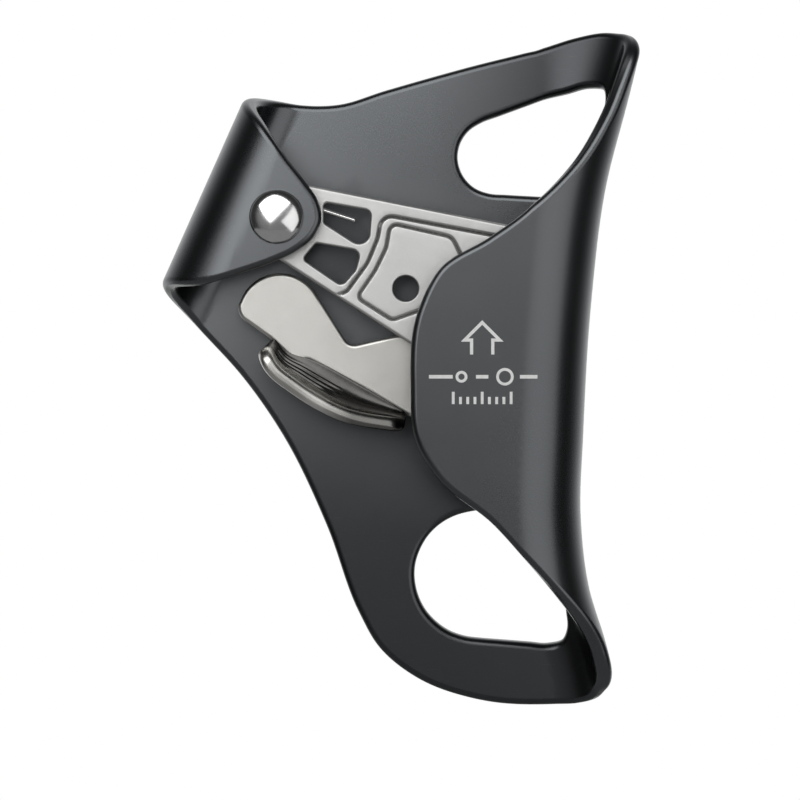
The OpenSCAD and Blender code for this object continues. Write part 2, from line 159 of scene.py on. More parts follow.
PRINT_MID = -7.8
ARROW_TOP = -20.5
RING_ROW = -31.0
SCALE_ROW = -36.3
INK = (-OUTER - 0.02, -OUTER + 0.01)

CAMERA_AT = (-23.7, -3000, -35.5)
VIEW_WIDTH = 155.34


# ---------- plane curves ----------

def smooth(points, k=8, closed=False):
    """A smooth curve through the points, k steps between each two of them."""
    p = np.array(points, float)
    n = len(p)
    ahead = np.roll(p, -1, 0) - p
    length = np.linalg.norm(ahead, axis=1, keepdims=True)
    unit = ahead / np.maximum(length, 1e-9)
    back_unit, back_length = np.roll(unit, 1, 0), np.roll(length, 1, 0)
    slope = (back_unit * length + unit * back_length) / (length + back_length)
    if not closed:
        slope[0], slope[-1] = unit[0], unit[-2]
    out = []
    for i in range(n if closed else n - 1):
        j = (i + 1) % n
        for t in np.arange(k) / k:
            out.append(p[i] * (2 * t**3 - 3 * t**2 + 1)
                       + slope[i] * length[i] * (t**3 - 2 * t**2 + t)
                       + p[j] * (3 * t**2 - 2 * t**3) + slope[j] * length[i] * (t**3 - t**2))
    if not closed:
        out.append(p[-1])
    return np.array(out)


def even(points, step, closed=False):
    """The same curve with its points about one step apart."""
    p = np.array(points, float)
    if closed:
        p = np.vstack([p, p[:1]])
    run = np.concatenate([[0], np.cumsum(np.linalg.norm(np.diff(p, axis=0), axis=1))])
    n = max(4, int(round(run[-1] / step)))
    at = np.linspace(0, run[-1], n + 1)
    q = np.stack([np.interp(at, run, p[:, k]) for k in range(p.shape[1])], 1)
    return q[:-1] if closed else q


def arc(centre, r, start, end, n=12):
    """Points along part of a circle, with the angles in degrees."""
    a = np.radians(np.linspace(start, end, n + 1))
    return np.stack([centre[0] + r * np.cos(a), centre[1] + r * np.sin(a)], 1)


def belt(circles, n=16):
    """Outline of a belt stretched round circles that are listed counter-clockwise."""
    def leave(a, b):
        dx, dy = b[0] - a[0], b[1] - a[1]
        return math.degrees(math.atan2(dy, dx) - math.acos((a[2] - b[2]) / math.hypot(dx, dy)))
    out = []
    for i, c in enumerate(circles):
        start = leave(circles[i - 1], c)
        end = leave(c, circles[(i + 1) % len(circles)])
        out.append(arc(c, c[2], start, start + (end - start) % 360, n))
    return np.vstack(out)


def rounded(corners, n=8):
    """Outline of a polygon whose corners are (x, y, radius)."""
    out = []
    for i, (x, y, r) in enumerate(corners):
        b = np.array([x, y])
        u = np.array(corners[i - 1][:2]) - b
        v = np.array(corners[(i + 1) % len(corners)][:2]) - b
        u, v = u / np.linalg.norm(u), v / np.linalg.norm(v)
        half = math.acos(np.clip(u @ v, -1, 1)) / 2
        middle = b + (u + v) / np.linalg.norm(u + v) * r / math.sin(half)
        s, e = b + u * r / math.tan(half) - middle, b + v * r / math.tan(half) - middle
        start = math.degrees(math.atan2(s[1], s[0]))
        turn = math.degrees(math.atan2(e[1], e[0])) - start
        out.append(arc(middle, r, start, start + turn - 360 * round(turn / 360), n))
    return np.vstack(out)


def circle(x, y, r, n=48):
    return arc((x, y), r, 0, 360, n)[:-1]


def edge_normals(loop):
    """Unit normals on the right of a closed loop, its headings, and how far its mitres reach."""
    ahead = np.roll(loop, -1, 0) - loop
    ahead /= np.maximum(np.linalg.norm(ahead, axis=1, keepdims=True), 1e-9)
    before = np.roll(ahead, 1, 0)
    along = ahead + before
    along /= np.maximum(np.linalg.norm(along, axis=1, keepdims=True), 1e-9)
    right = np.stack([along[:, 1], -along[:, 0]], 1)
    reach = 1 / np.clip(np.abs((along * ahead).sum(1)), 0.6, 1)
    return right, along, reach


def inside(points, loops):
    """Whether each point is inside the first loop and outside the others, by crossings."""
    hit = np.zeros(len(points), bool)
    for loop in loops:
        a, b = loop, np.roll(loop, -1, 0)
        for k in range(0, len(points), 4000):
            p = points[k:k + 4000, None]
            span = (a[:, 1] > p[..., 1]) != (b[:, 1] > p[..., 1])
            rise = np.where(b[:, 1] == a[:, 1], 1e-12, b[:, 1] - a[:, 1])
            cross = a[:, 0] + (p[..., 1] - a[:, 1]) * (b[:, 0] - a[:, 0]) / rise
            hit[k:k + 4000] ^= ((span & (p[..., 0] < cross)).sum(1) % 2).astype(bool)
    return hit


def nearest(points, others):
    """Distance from each point to the nearest of the others."""
    best = np.full(len(points), 1e9)
    for k in range(0, len(points), 2000):
        d = points[k:k + 2000, None] - others[None]
        best[k:k + 2000] = np.sqrt((d**2).sum(2).min(1))
    return best


# ---------- meshes ----------

class Shape:
    """Vertices, faces and exact normals, gathered for one object."""

    def __init__(self):
        self.verts, self.normals, self.faces, self.count = [], [], [], 0

    def add(self, verts, normals):
        start = self.count
        self.verts.append(np.asarray(verts, float))
        self.normals.append(np.asarray(normals, float))
        self.count += len(verts)
        return start

    def make(self, name, material, body, replaces=None):
        mesh = bpy.data.meshes.new(name)
        verts = np.vstack(self.verts) * MM
        mesh.from_pydata(verts.tolist(), [], self.faces)
        mesh.shade_smooth()
        normals = np.vstack(self.normals)
        normals /= np.maximum(np.linalg.norm(normals, axis=1, keepdims=True), 1e-12)
        mesh.normals_split_custom_set_from_vertices(normals.tolist())
        mesh.materials.append(material)
        obj = bpy.data.objects.new(name, mesh)
        bpy.context.scene.collection.objects.link(obj)
        if body:
            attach(obj, body)
        if replaces:
            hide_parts(replaces)
        return obj


def normal_of(surface, p, eps=1e-3):
    """Unit normals of a surface at flat points."""
    dx = surface(p + [eps, 0]) - surface(p - [eps, 0])
    dz = surface(p + [0, eps]) - surface(p - [0, eps])
    n = np.cross(dz, dx)
    return n / np.maximum(np.linalg.norm(n, axis=1, keepdims=True), 1e-15)


def skin(shape, loops, surface, thick, edges, step, recess=None, extra=None, rings=6, hollow=-1,
         lean=None):
    """A plate with rounded edges. loops are its outline and holes, the outline counter-clockwise
    and the holes clockwise, and edges are their edge radii. surface lays a flat point out in
    space. step is the width of the faces, and extra adds points where finer ones are needed.
    recess is how deep the side 'hollow' is cut at a flat point. lean gives how far each wall
    leans over the thickness."""
    half = thick / 2
    lean = lean or [0.0] * len(loops)
    rails = [edge_normals(l) for l in loops]

    def rail(i, inset):
        right, _, reach = rails[i]
        return loops[i] - right * (reach * inset)[:, None]

    inner = [rail(i, np.full(len(l), edges[i])) for i, l in enumerate(loops)]
    low, high = inner[0].min(0), inner[0].max(0)
    xs = np.arange(low[0], high[0], step)
    zs = np.arange(low[1], high[1], step * 0.866)
    grid = np.array([(x + (k % 2) * step / 2, z) for k, z in enumerate(zs) for x in xs])
    if extra is not None:
        grid = grid[nearest(grid, extra) > step * 0.45]
        grid = np.vstack([grid, extra])
    grid = grid[inside(grid, inner)]
    grid = grid[nearest(grid, np.vstack(inner)) > min(step, 0.9) * 0.4]
    flat = np.vstack(inner + [grid])
    lines, start = [], 0
    for l in inner:
        n = len(l)
        lines += [(start + k, start + (k + 1) % n) for k in range(n)]
        start += n
    out = geometry.delaunay_2d_cdt([Vector(p) for p in flat.tolist()], lines, [], 0, 1e-7)
    flat_out = np.array([tuple(v) for v in out[0]])
    source = {k: new for new, old in enumerate(out[3]) for k in old}
    tris = np.array(out[2])
    tris = tris[inside(flat_out[tris].mean(1), inner)]
    spin = flat_out[tris]
    turn = np.cross(spin[:, 1] - spin[:, 0], spin[:, 2] - spin[:, 0])
    tris[turn < 0] = tris[turn < 0][:, ::-1]

    def place(p, side, height, angle=0.0, outward=None):
        n = normal_of(surface, p)
        drop, tilt = 0.0, 0.0
        if recess is not None and side == hollow:
            eps = 0.02
            drop = recess(p)
            gx = (recess(p + [eps, 0]) - recess(p - [eps, 0])) / (2 * eps)
            gz = (recess(p + [0, eps]) - recess(p - [0, eps])) / (2 * eps)
            ux = (surface(p + [1e-3, 0]) - surface(p - [1e-3, 0])) / 2e-3
            uz = (surface(p + [0, 1e-3]) - surface(p - [0, 1e-3])) / 2e-3
            tilt = ux * gx[:, None] + uz * gz[:, None]
        spots = surface(p) + n * (side * (height - drop))[:, None]
        face = n * side + tilt
        if outward is None:
            return spots, face
        return spots, face * math.cos(angle) + outward * math.sin(angle)

    first = {}
    for side in (1, -1):
        at = shape.add(*place(flat_out, side, np.full(len(flat_out), half)))
        first[side] = at
        order = tris[:, ::-1] if side > 0 else tris
        shape.faces += (order + at).tolist()
    start = 0
    for i, loop in enumerate(loops):
        n = len(loop)
        right, along, _ = rails[i]
        last = {}
        for side in (1, -1):
            previous = [first[side] + source[start + k] for k in range(n)]
            for ring in range(1, rings + 1):
                angle = math.pi / 2 * ring / rings
                dip = edges[i] * (1 - math.cos(angle))
                share = (dip if side < 0 else thick - dip) / thick
                p = rail(i, edges[i] * (1 - math.sin(angle)) - lean[i] * share)
                ahead = surface(p + along * 1e-3) - surface(p - along * 1e-3)
                outward = np.cross(normal_of(surface, p), ahead)
                outward /= np.maximum(np.linalg.norm(outward, axis=1, keepdims=True), 1e-15)
                outward -= normal_of(surface, p) * (lean[i] / thick * np.ones(n))[:, None]
                at = shape.add(*place(p, side, np.full(n, half - dip), angle, outward))
                ring_ids = list(range(at, at + n))
                for k in range(n):
                    j = (k + 1) % n
                    quad = [previous[k], previous[j], ring_ids[j], ring_ids[k]]
                    shape.faces.append(quad if side > 0 else quad[::-1])
                previous = ring_ids
            last[side] = previous
        for k in range(n):
            j = (k + 1) % n
            shape.faces.append([last[1][k], last[1][j], last[-1][j], last[-1][k]])
        start += n


def flat_at(y):
    """A surface that lies flat at one depth."""
    return lambda p: np.stack([p[:, 0], np.full(len(p), y), p[:, 1]], 1)


def plate(shape, loops, front, back, edges, step, **more):
    """A flat plate between two depths."""
    skin(shape, loops, flat_at((front + back) / 2), back - front, edges, step, **more)


def chamfered(profile, cut=0.15):
    """A closed profile with each sharp corner cut back."""
    out = []
    for i, b in enumerate(profile):
        b = np.array(b, float)
        if b[0] < 1e-6:
            out.append(b)
            continue
        for q in (profile[i - 1], profile[(i + 1) % len(profile)]):
            d = np.array(q, float) - b
            out.append(b + d / np.linalg.norm(d) * min(cut, np.linalg.norm(d) * 0.4))
    return out


def lathe(shape, at, profile, n=72, flat_cut=25):
    """A turned piece about the Y axis through at. profile lists (radius, y) once round the
    section. Corners sharper than flat_cut degrees stay crisp."""
    p = np.array(profile, float)
    m = len(p)
    step = np.roll(p, -1, 0) - p
    step /= np.maximum(np.linalg.norm(step, axis=1, keepdims=True), 1e-9)
    area = (p[:, 0] * np.roll(p[:, 1], -1) - np.roll(p[:, 0], -1) * p[:, 1]).sum()
    sign = 1 if area > 0 else -1
    out = np.stack([step[:, 1], -step[:, 0]], 1) * sign
    turn = 2 * math.pi * np.arange(n) / n
    cos, sin = np.cos(turn), np.sin(turn)

    def spun(r, y):
        return np.stack([at[0] + r * cos, np.full(n, y), at[1] + r * sin], 1)

    def facing(v):
        return np.stack([v[0] * cos, np.full(n, v[1]), v[0] * sin], 1)

    for i in range(m):
        j = (i + 1) % m
        if p[i][0] < 1e-6 and p[j][0] < 1e-6:
            continue
        ends = []
        for k, other in ((i, i - 1), (j, (i + 1) % m)):
            near = out[i] @ out[other] > math.cos(math.radians(flat_cut))
            face = out[i] + out[other] if near else out[i]
            ends.append(shape.add(spun(*p[k]), facing(face / np.linalg.norm(face))))
        a, b = ends
        for k in range(n):
            l = (k + 1) % n
            quad = [a + k, b + k, b + l, a + l]
            if p[i][0] < 1e-6:
                quad = [a + k, b + k, b + l]
            elif p[j][0] < 1e-6:
                quad = [a + k, b + k, a + l]
            shape.faces.append(quad if sign > 0 else quad[::-1])


def tube(shape, path, r, sides=14):
    """A round wire along a path, with rounded ends."""
    p = np.array(path, float)
    t = np.gradient(p, axis=0)
    t /= np.linalg.norm(t, axis=1, keepdims=True)
    u = np.cross(t[0], [1.0, 1.0, 0.0])
    a = 2 * math.pi * np.arange(sides) / sides
    rows = []
    caps = [(s, math.sqrt(1 - s * s)) for s in np.linspace(1, 0.15, 4)]
    for i in range(len(p)):
        u = u - (u @ t[i]) * t[i]
        u /= np.linalg.norm(u)
        w = np.cross(t[i], u)
        ring = np.cos(a)[:, None] * u + np.sin(a)[:, None] * w
        if i == 0:
            for s, c in caps:
                rows.append((p[0] - t[0] * r * s + ring * r * c, ring * c - t[0] * s))
        rows.append((p[i] + ring * r, ring))
        if i == len(p) - 1:
            for s, c in reversed(caps):
                rows.append((p[i] + t[i] * r * s + ring * r * c, ring * c + t[i] * s))
    at = [shape.add(v, n) for v, n in rows]
    for j in range(len(at) - 1):
        for k in range(sides):
            l = (k + 1) % sides
            shape.faces.append([at[j] + k, at[j] + l, at[j + 1] + l, at[j + 1] + k])


# ---------- materials ----------

class Nodes:
    """Short names for building one material's nodes."""

    def __init__(self, name):
        self.material = bpy.data.materials.new(name)
        self.material.use_nodes = True
        self.tree = self.material.node_tree
        self.shader = self.tree.nodes["Principled BSDF"]
        self.coords = self.tree.nodes.new("ShaderNodeTexCoord").outputs["Object"]

    def link(self, a, b):
        self.tree.links.new(a, b)

    def scaled(self, scale, turn=(0, 0, 0)):
        n = self.tree.nodes.new("ShaderNodeMapping")
        n.inputs["Scale"].default_value = scale
        n.inputs["Rotation"].default_value = turn
        self.link(self.coords, n.inputs["Vector"])
        return n.outputs["Vector"]

    def noise(self, scale, detail=3.0, rough=0.5, vector=None):
        n = self.tree.nodes.new("ShaderNodeTexNoise")
        n.inputs["Scale"].default_value = scale
        n.inputs["Detail"].default_value = detail
        n.inputs["Roughness"].default_value = rough
        self.link(vector or self.coords, n.inputs["Vector"])
        return n.outputs["Fac"]

    def ramp(self, value, low, high, a, b):
        """Takes value from low..high to a..b."""
        n = self.tree.nodes.new("ShaderNodeMapRange")
        for key, number in (("From Min", low), ("From Max", high), ("To Min", a), ("To Max", b)):
            n.inputs[key].default_value = number
        self.link(value, n.inputs["Value"])
        return n.outputs["Result"]

    def math(self, kind, a, b):
        n = self.tree.nodes.new("ShaderNodeMath")
        n.operation = kind
        for socket, value in zip(n.inputs, (a, b)):
            if isinstance(value, (int, float)):
                socket.default_value = value
            else:
                self.link(value, socket)
        return n.outputs[0]

    def mix(self, factor, a, b):
        n = self.tree.nodes.new("ShaderNodeMix")
        n.data_type = "RGBA"
        self.link(factor, n.inputs[0])
        for socket, value in ((n.inputs[6], a), (n.inputs[7], b)):
            if isinstance(value, tuple):
                socket.default_value = (*value, 1)
            else:
                self.link(value, socket)
        return n.outputs[2]

    def axis(self, name):
        split = self.tree.nodes.new("ShaderNodeSeparateXYZ")
        self.link(self.coords, split.inputs[0])
        return split.outputs[name]

    def pointy(self):
        return self.tree.nodes.new("ShaderNodeNewGeometry").outputs["Pointiness"]

    def bump(self, height, distance, strength=1.0, below=None):
        n = self.tree.nodes.new("ShaderNodeBump")
        n.inputs["Strength"].default_value = strength
        n.inputs["Distance"].default_value = distance
        self.link(height, n.inputs["Height"])
        if below:
            self.link(below, n.inputs["Normal"])
        return n.outputs["Normal"]

    def finish(self, color, rough, normal=None, metallic=1.0, **constants):
        self.link(color, self.shader.inputs["Base Color"])
        self.link(rough, self.shader.inputs["Roughness"])
        self.shader.inputs["Metallic"].default_value = metallic
        for key, value in constants.items():
            self.shader.inputs[key].default_value = value
        if normal:
            self.link(normal, self.shader.inputs["Normal"])
        return self.material


def painted_back_shade(n):
    """Painted shade on the back plate: darker towards its foot, darker in its upper right corner,
    and a soft painted shadow on its inner face behind the cam's arm."""
    x, y, z = n.axis("X"), n.axis("Y"), n.axis("Z")
    # Painted shade, darker towards the plate's foot.
    foot = n.ramp(z, -0.062, -0.035, 0.8, 0)
    # Painted shade in the plate's upper right corner.
    corner = n.math("MULTIPLY", n.ramp(x, -0.018, 0.006, 0, 1), n.ramp(z, 0.004, 0.02, 0, 1))
    # Painted shadow of the cam's arm: a soft dark disc on the plate's inner face behind the arm.
    across, up = n.math("ADD", x, 0.036), n.math("ADD", z, 0.005)
    away = n.math("SQRT", n.math("ADD", n.math("MULTIPLY", across, across),
                                 n.math("MULTIPLY", up, up)), 0)
    away = n.math("ADD", away, n.ramp(n.noise(160, 3), 0.3, 0.7, -0.002, 0.002))
    arm_shadow = n.math("MULTIPLY", n.ramp(away, 0.006, 0.013, 0.9, 0), n.ramp(y, 0.0088, 0.0096, 1, 0))
    shade = n.math("MAXIMUM", n.math("MAXIMUM", foot, corner), arm_shadow)
    return n.math("MULTIPLY", shade, n.ramp(y, 0.001, 0.006, 0, 1))


def anodised_black():
    """Bead-blasted sheet under a black anodic film: fine matte grain, soft cloudy tone, faint
    handling scratches, and painted shade on the back plate."""
    n = Nodes("anodised_black")
    clouds = n.noise(22, 3)
    grain = n.noise(2600, 2)
    scratch = n.noise(260, 2, 0.6, n.scaled((1, 1, 22), (0.2, 0.9, 0.3)))
    marks = n.ramp(scratch, 0.66, 0.74, 0, 1)
    tone = n.mix(n.ramp(clouds, 0.3, 0.7, 0, 1), (0.118, 0.124, 0.13), (0.14, 0.146, 0.152))
    # The back plate's painted shade and shadow are mixed in here as a darker tone.
    tone = n.mix(painted_back_shade(n), tone, (0.068, 0.071, 0.075))
    color = n.mix(n.math("MULTIPLY", marks, 0.08), tone, (0.3, 0.3, 0.3))
    rough = n.math("ADD", n.ramp(clouds, 0.3, 0.7, 0.27, 0.31),
                   n.ramp(grain, 0.3, 0.7, -0.012, 0.012))
    return n.finish(color, rough, n.bump(grain, 0.00001, 0.15))


def cast_steel():
    """Satin cast steel: fine granular skin with slightly polished high spots, and painted shade in
    its grooves and other hollows.
    """
    n = Nodes("cast_steel")
    patches = n.noise(60, 4)
    grain = n.noise(2100, 3, 0.6)
    color = n.mix(n.ramp(patches, 0.3, 0.7, 0, 1), (0.57, 0.57, 0.56), (0.66, 0.66, 0.65))
    # Painted shade: concave grooves and creases are darkened by pointiness.
    color = n.mix(n.ramp(n.pointy(), 0.42, 0.49, 1, 0), color, (0.12, 0.12, 0.12))
    rough = n.math("ADD", n.ramp(patches, 0.3, 0.7, 0.42, 0.5),
                   n.ramp(grain, 0.3, 0.7, -0.05, 0.05))
    return n.finish(color, rough, n.bump(grain, 0.00003, 0.5))


def stamped_steel():
    """Tumbled stainless sheet: very fine orange-peel and a warm grey tone."""
    n = Nodes("stamped_steel")
    patches = n.noise(45, 3)
    grain = n.noise(1500, 3, 0.6)
    color = n.mix(n.ramp(patches, 0.3, 0.7, 0, 1), (0.61, 0.6, 0.57), (0.69, 0.68, 0.65))
    rough = n.math("ADD", n.ramp(patches, 0.3, 0.7, 0.34, 0.42),
                   n.ramp(grain, 0.3, 0.7, -0.05, 0.05))
    return n.finish(color, rough, n.bump(grain, 0.00003, 0.35))


def polished_steel(name="polished_steel", rough_low=0.12, rough_high=0.19):
    """Bright polished steel with faint turning marks and a few soft scuffs."""
    n = Nodes(name)
    scuffs = n.noise(300, 3)
    color = n.mix(n.ramp(scuffs, 0.3, 0.7, 0, 1), (0.78, 0.78, 0.78), (0.86, 0.86, 0.855))
    rough = n.ramp(scuffs, 0.3, 0.7, rough_low, rough_high)
    return n.finish(color, rough, n.bump(n.noise(500, 2), 0.00002, 0.25))


def tab_polish_and_shade():
    """The finger tab: bright steel, with painted shade in its hollow next to the plate and over its
    right part.
    """
    n = Nodes("tab_polish_and_shade")
    patches = n.noise(170, 4)
    bright = n.mix(n.ramp(patches, 0.3, 0.7, 0, 1), (0.6, 0.59, 0.56), (0.75, 0.74, 0.71))
    forward = n.math("ADD", n.axis("Y"), n.ramp(patches, 0.3, 0.7, -0.0006, 0.0006))
    # Painted shade: dark in the hollow next to the plate and over the tab's right part.
    hollow = n.math("MAXIMUM", n.ramp(forward, -0.0074, -0.0056, 0, 1),
                    n.ramp(n.axis("X"), -0.039, -0.033, 0, 0.8))
    # The dark tone of the painted shade.
    color = n.mix(hollow, bright, (0.1, 0.098, 0.094))
    rough = n.math("ADD", n.ramp(patches, 0.3, 0.7, 0.26, 0.36), n.math("MULTIPLY", hollow, -0.08))
    return n.finish(color, rough, n.bump(n.noise(900, 2), 0.00003, 0.4))


def bronze():
    """Sintered bearing bronze."""
    n = Nodes("bronze")
    patches = n.noise(150, 4)
    color = n.mix(n.ramp(patches, 0.3, 0.7, 0, 1), (0.45, 0.3, 0.13), (0.6, 0.43, 0.2))
    rough = n.ramp(patches, 0.3, 0.7, 0.3, 0.42)
    return n.finish(color, rough, n.bump(n.noise(2500, 2), 0.00002, 0.4))


def white_print():
    """Pad-printed white ink, slightly uneven."""
    n = Nodes("white_print")
    patches = n.noise(900, 3)
    color = n.mix(n.ramp(patches, 0.3, 0.7, 0, 1), (0.8, 0.8, 0.79), (0.9, 0.9, 0.89))
    return n.finish(color, n.ramp(patches, 0.3, 0.7, 0.5, 0.65), metallic=0.0)


BLACK = anodised_black()
CAST = cast_steel()
STAMPED = stamped_steel()
POLISHED = polished_steel()
WIRE = polished_steel("spring_wire", 0.12, 0.22)
TURNED = polished_steel("turned_steel", 0.2, 0.32)
BRONZE = bronze()
PRINT = white_print()
TAB_POLISH_AND_SHADE = tab_polish_and_shade()


# ---------- folded sheet ----------

side_curve = smooth(SIDE_LINE, 12)


def side_x(z):
    """The channel's closed side at a height."""
    return np.interp(z, side_curve[:, 0], side_curve[:, 1])


def side_w(z):
    """How wide the side fold is at a height."""
    return 12.1 + 6.1 * np.exp((z - 30) / 20)


def tangent_x(z):
    """Where the sheet starts to fold at a height."""
    return side_x(z) - side_w(z)


def folded(p):
    """Lays a point of the flattened sheet on its middle surface."""
    x, z = p[:, 0], p[:, 1]
    y = np.full(len(p), MID)
    rel = p - AXLE
    out, up = rel @ EAR_OUT, rel @ EAR_UP
    ear = out > EAR_TANGENT
    v = np.maximum(out - EAR_TANGENT, 0)
    turn = math.pi * np.clip(v / EAR_WRAP, 0, 1)
    reach = EAR_TANGENT + MID * np.sin(turn) - np.maximum(v - EAR_WRAP, 0)
    ear_at = AXLE + up[:, None] * EAR_UP + reach[:, None] * EAR_OUT
    start = tangent_x(z)
    side = x > start
    w = np.maximum(x - start, 0)
    bend = math.pi * np.clip(w / SIDE_WRAP, 0, 1)
    side_at = start + (side_w(z) - SHEET / 2) * np.sin(bend) - np.maximum(w - SIDE_WRAP, 0)
    new_x = np.where(ear, ear_at[:, 0], np.where(side, side_at, x))
    new_z = np.where(ear, ear_at[:, 1], z)
    new_y = np.where(ear, MID * np.cos(turn), np.where(side, MID * np.cos(bend), y))
    return np.stack([new_x, new_y, new_z], 1)


def ear_flat(points):
    """Flat points from (distance round the sheet, distance along the ear's fold)."""
    return [tuple(AXLE + EAR_UP * q + EAR_OUT * (EAR_TANGENT + v)) for v, q in points]


def side_flat(points):
    """Flat points from (distance round the sheet, height)."""
    return [(float(tangent_x(z)) + v, z) for v, z in points]


def unrolled(seen):
    """Flat points for points (x, height) seen from the front on the back half of the side fold."""
    x, z = seen[:, 0], seen[:, 1]
    start = tangent_x(z)
    bend = np.arcsin(np.clip((x - start) / (side_w(z) - SHEET / 2), 0, 1))
    return np.stack([np.where(x > start, start + bend / math.pi * SIDE_WRAP, x), z], 1)


def eased(points, k, closed=False):
    """A curve through flat points, smooth as seen from the front where the sheet starts to fold."""
    return unrolled(smooth(folded(np.array(points, float))[:, [0, 2]], k, closed))


def blank_outline():
    """Outline of the flattened sheet, counter-clockwise."""
    foot = eased(PLATE_FOOT[-3:] + side_flat(CHANNEL_FOOT + FLAP_EDGE[:1]), 4)[4:]
    head = eased(side_flat(FLAP_EDGE[-1:] + CHANNEL_HEAD) + PLATE_HEAD, 4)[:-4]
    points = (ear_flat(EAR_FOOT) + PLATE_FOOT[:-2] + foot.tolist() + side_flat(FLAP_EDGE[1:-1])
              + head.tolist() + PLATE_HEAD[2:] + ear_flat(EAR_HEAD) + ear_flat(EAR_EDGE))
    return smooth(points, 10, closed=True)


def eye(circles):
    """Outline of an eye, with the belt's changes of curvature eased."""
    return even(eased(even(belt(circles), 3.2, True), 8, True), 0.6, True)


def make_frame():
    shape = Shape()
    ear_hole = AXLE + EAR_OUT * (2 * EAR_TANGENT + EAR_WRAP)
    loops = [even(blank_outline(), 0.8, True),
             eye(UPPER_EYE)[::-1],
             eye(LOWER_EYE)[::-1],
             circle(*AXLE, AXLE_R + 0.02)[::-1],
             circle(*ear_hole, AXLE_R + 0.02)[::-1]]
    up = [edge_normals(l)[0][:, 1] for l in loops]
    lean = [0.0, EYE_LEANS[0] * np.clip(-up[1], 0, 1), EYE_LEANS[1] * np.clip(up[2], 0, 1), 0.0, 0.0]
    edges = [SHEET_EDGE] * 3 + [BORE_EDGE] * 2
    skin(shape, loops, folded, SHEET, edges, 1.25, rings=8, lean=lean)
    return shape.make("folded_body", BLACK, "frame", "frame")


# ---------- cam ----------

def spiral_r(a):
    """Radius of the toothed face's spiral at an angle below the horizontal."""
    return CAM_REACH / math.cos(CAM_ANGLE) * math.exp(math.tan(CAM_ANGLE) * (a - CAM_ANGLE))


def polar(r, a):
    return np.array([r * math.cos(a), -r * math.sin(a)])


FACE_TOP = TOP_DIR - math.asin(TOP_OFF / spiral_r(math.radians(3)))
FACE_FOOT = FOOT_DIR + math.asin(FOOT_OFF / spiral_r(math.radians(39)))


def face(inset, margin=0.0, n=30):
    """The toothed face's curve about the axle, from its top to its foot."""
    angles = np.linspace(FACE_TOP + margin, FACE_FOOT - margin, n + 1)
    return np.array([polar(spiral_r(a) - inset, a) for a in angles])


def arm():
    """Outline of the cam's web, from the toothed face to inside its hub."""
    top = TOP_OFF * np.array([math.sin(TOP_DIR), math.cos(TOP_DIR)])
    foot = -FOOT_OFF * np.array([math.sin(FOOT_DIR), math.cos(FOOT_DIR)])
    inside_hub = arc((0, 0), WEB_START_R, 90 - math.degrees(TOP_DIR),
                     -90 - math.degrees(FOOT_DIR), 24)
    return np.vstack([face(WEB_INSET)[::-1], [top], inside_hub, [foot]])


def rim(inset, margin):
    """Outline of the band behind the toothed face."""
    m = math.radians(margin)
    return np.vstack([face(inset, m)[::-1], face(inset + RIM_W, m)])


def signed_distance(p, loop):
    """Distance to a closed loop, negative inside."""
    a = even(loop, 0.3, True)
    ab = np.roll(a, -1, 0) - a
    best = np.full(len(p), 1e9)
    for k in range(0, len(p), 2000):
        q = p[k:k + 2000, None] - a
        t = np.clip((q * ab).sum(2) / (ab**2).sum(1), 0, 1)
        best[k:k + 2000] = np.linalg.norm(q - t[..., None] * ab, axis=2).min(1)
    return best * np.where(inside(p, [loop]), -1, 1)


def cam_recess(p):
    """Depth of the relief panel's two steps, each with a groove cut along it."""
    q = p - AXLE
    depth = np.zeros(len(q))
    for outline, deep, groove in PANEL_STEPS:
        d = signed_distance(q, rounded(outline))
        t = np.clip(0.5 - d / STEP_W, 0, 1)
        depth += deep * t * t * (3 - 2 * t) + groove * np.exp(-(d / GROOVE_W) ** 2)
    return depth


def make_cam():
    shape = Shape()
    web = [even(arm(), 0.7, True) + AXLE,
           even(rounded(UPPER_WINDOW), 0.3, True)[::-1] + AXLE,
           even(rounded(LOWER_WINDOW), 0.3, True)[::-1] + AXLE,
           circle(*CAM_HOLE)[::-1] + AXLE]
    near = []
    for outline, _, _ in PANEL_STEPS:
        loop = even(rounded(outline), 0.28, True)
        right, _, _ = edge_normals(loop)
        for d in np.arange(-0.6, 0.61, 0.1):
            near.append(loop + right * d + AXLE)
    near = np.vstack(near)
    plate(shape, web, WEB_Y, WEB_BACK, [0.6, 0.45, 0.45, 0.3], 0.9, recess=cam_recess, extra=near)
    band = even(rim(WEB_INSET + 0.1, 0.3), 0.8, True) + AXLE
    plate(shape, [band], WEB_BACK - 0.5, RIM_Y, [0.5], 2)
    plate(shape, [even(rim(0, 0.8), 0.8, True) + AXLE], -CROWN_Y, CROWN_Y, [0.6], 2)
    hub = [(BUSH_R, -HUB_Y), (HUB_R, -HUB_Y), (HUB_R, HUB_Y), (POCKET_R, HUB_Y),
           (POCKET_R, WEB_BACK), (BUSH_R, WEB_BACK)]
    lathe(shape, AXLE, chamfered(hub, 0.25))
    for row in range(TOOTH_ROWS):
        for side in ((-1, 0, 1) if row % 2 == 0 else (-0.5, 0.5)):
            tooth(shape, FACE_TOP + math.radians(3 + row * TOOTH_ROW_STEP), side * TOOTH_ACROSS)
    return shape.make("cam_casting", CAST, "cam", "cam")


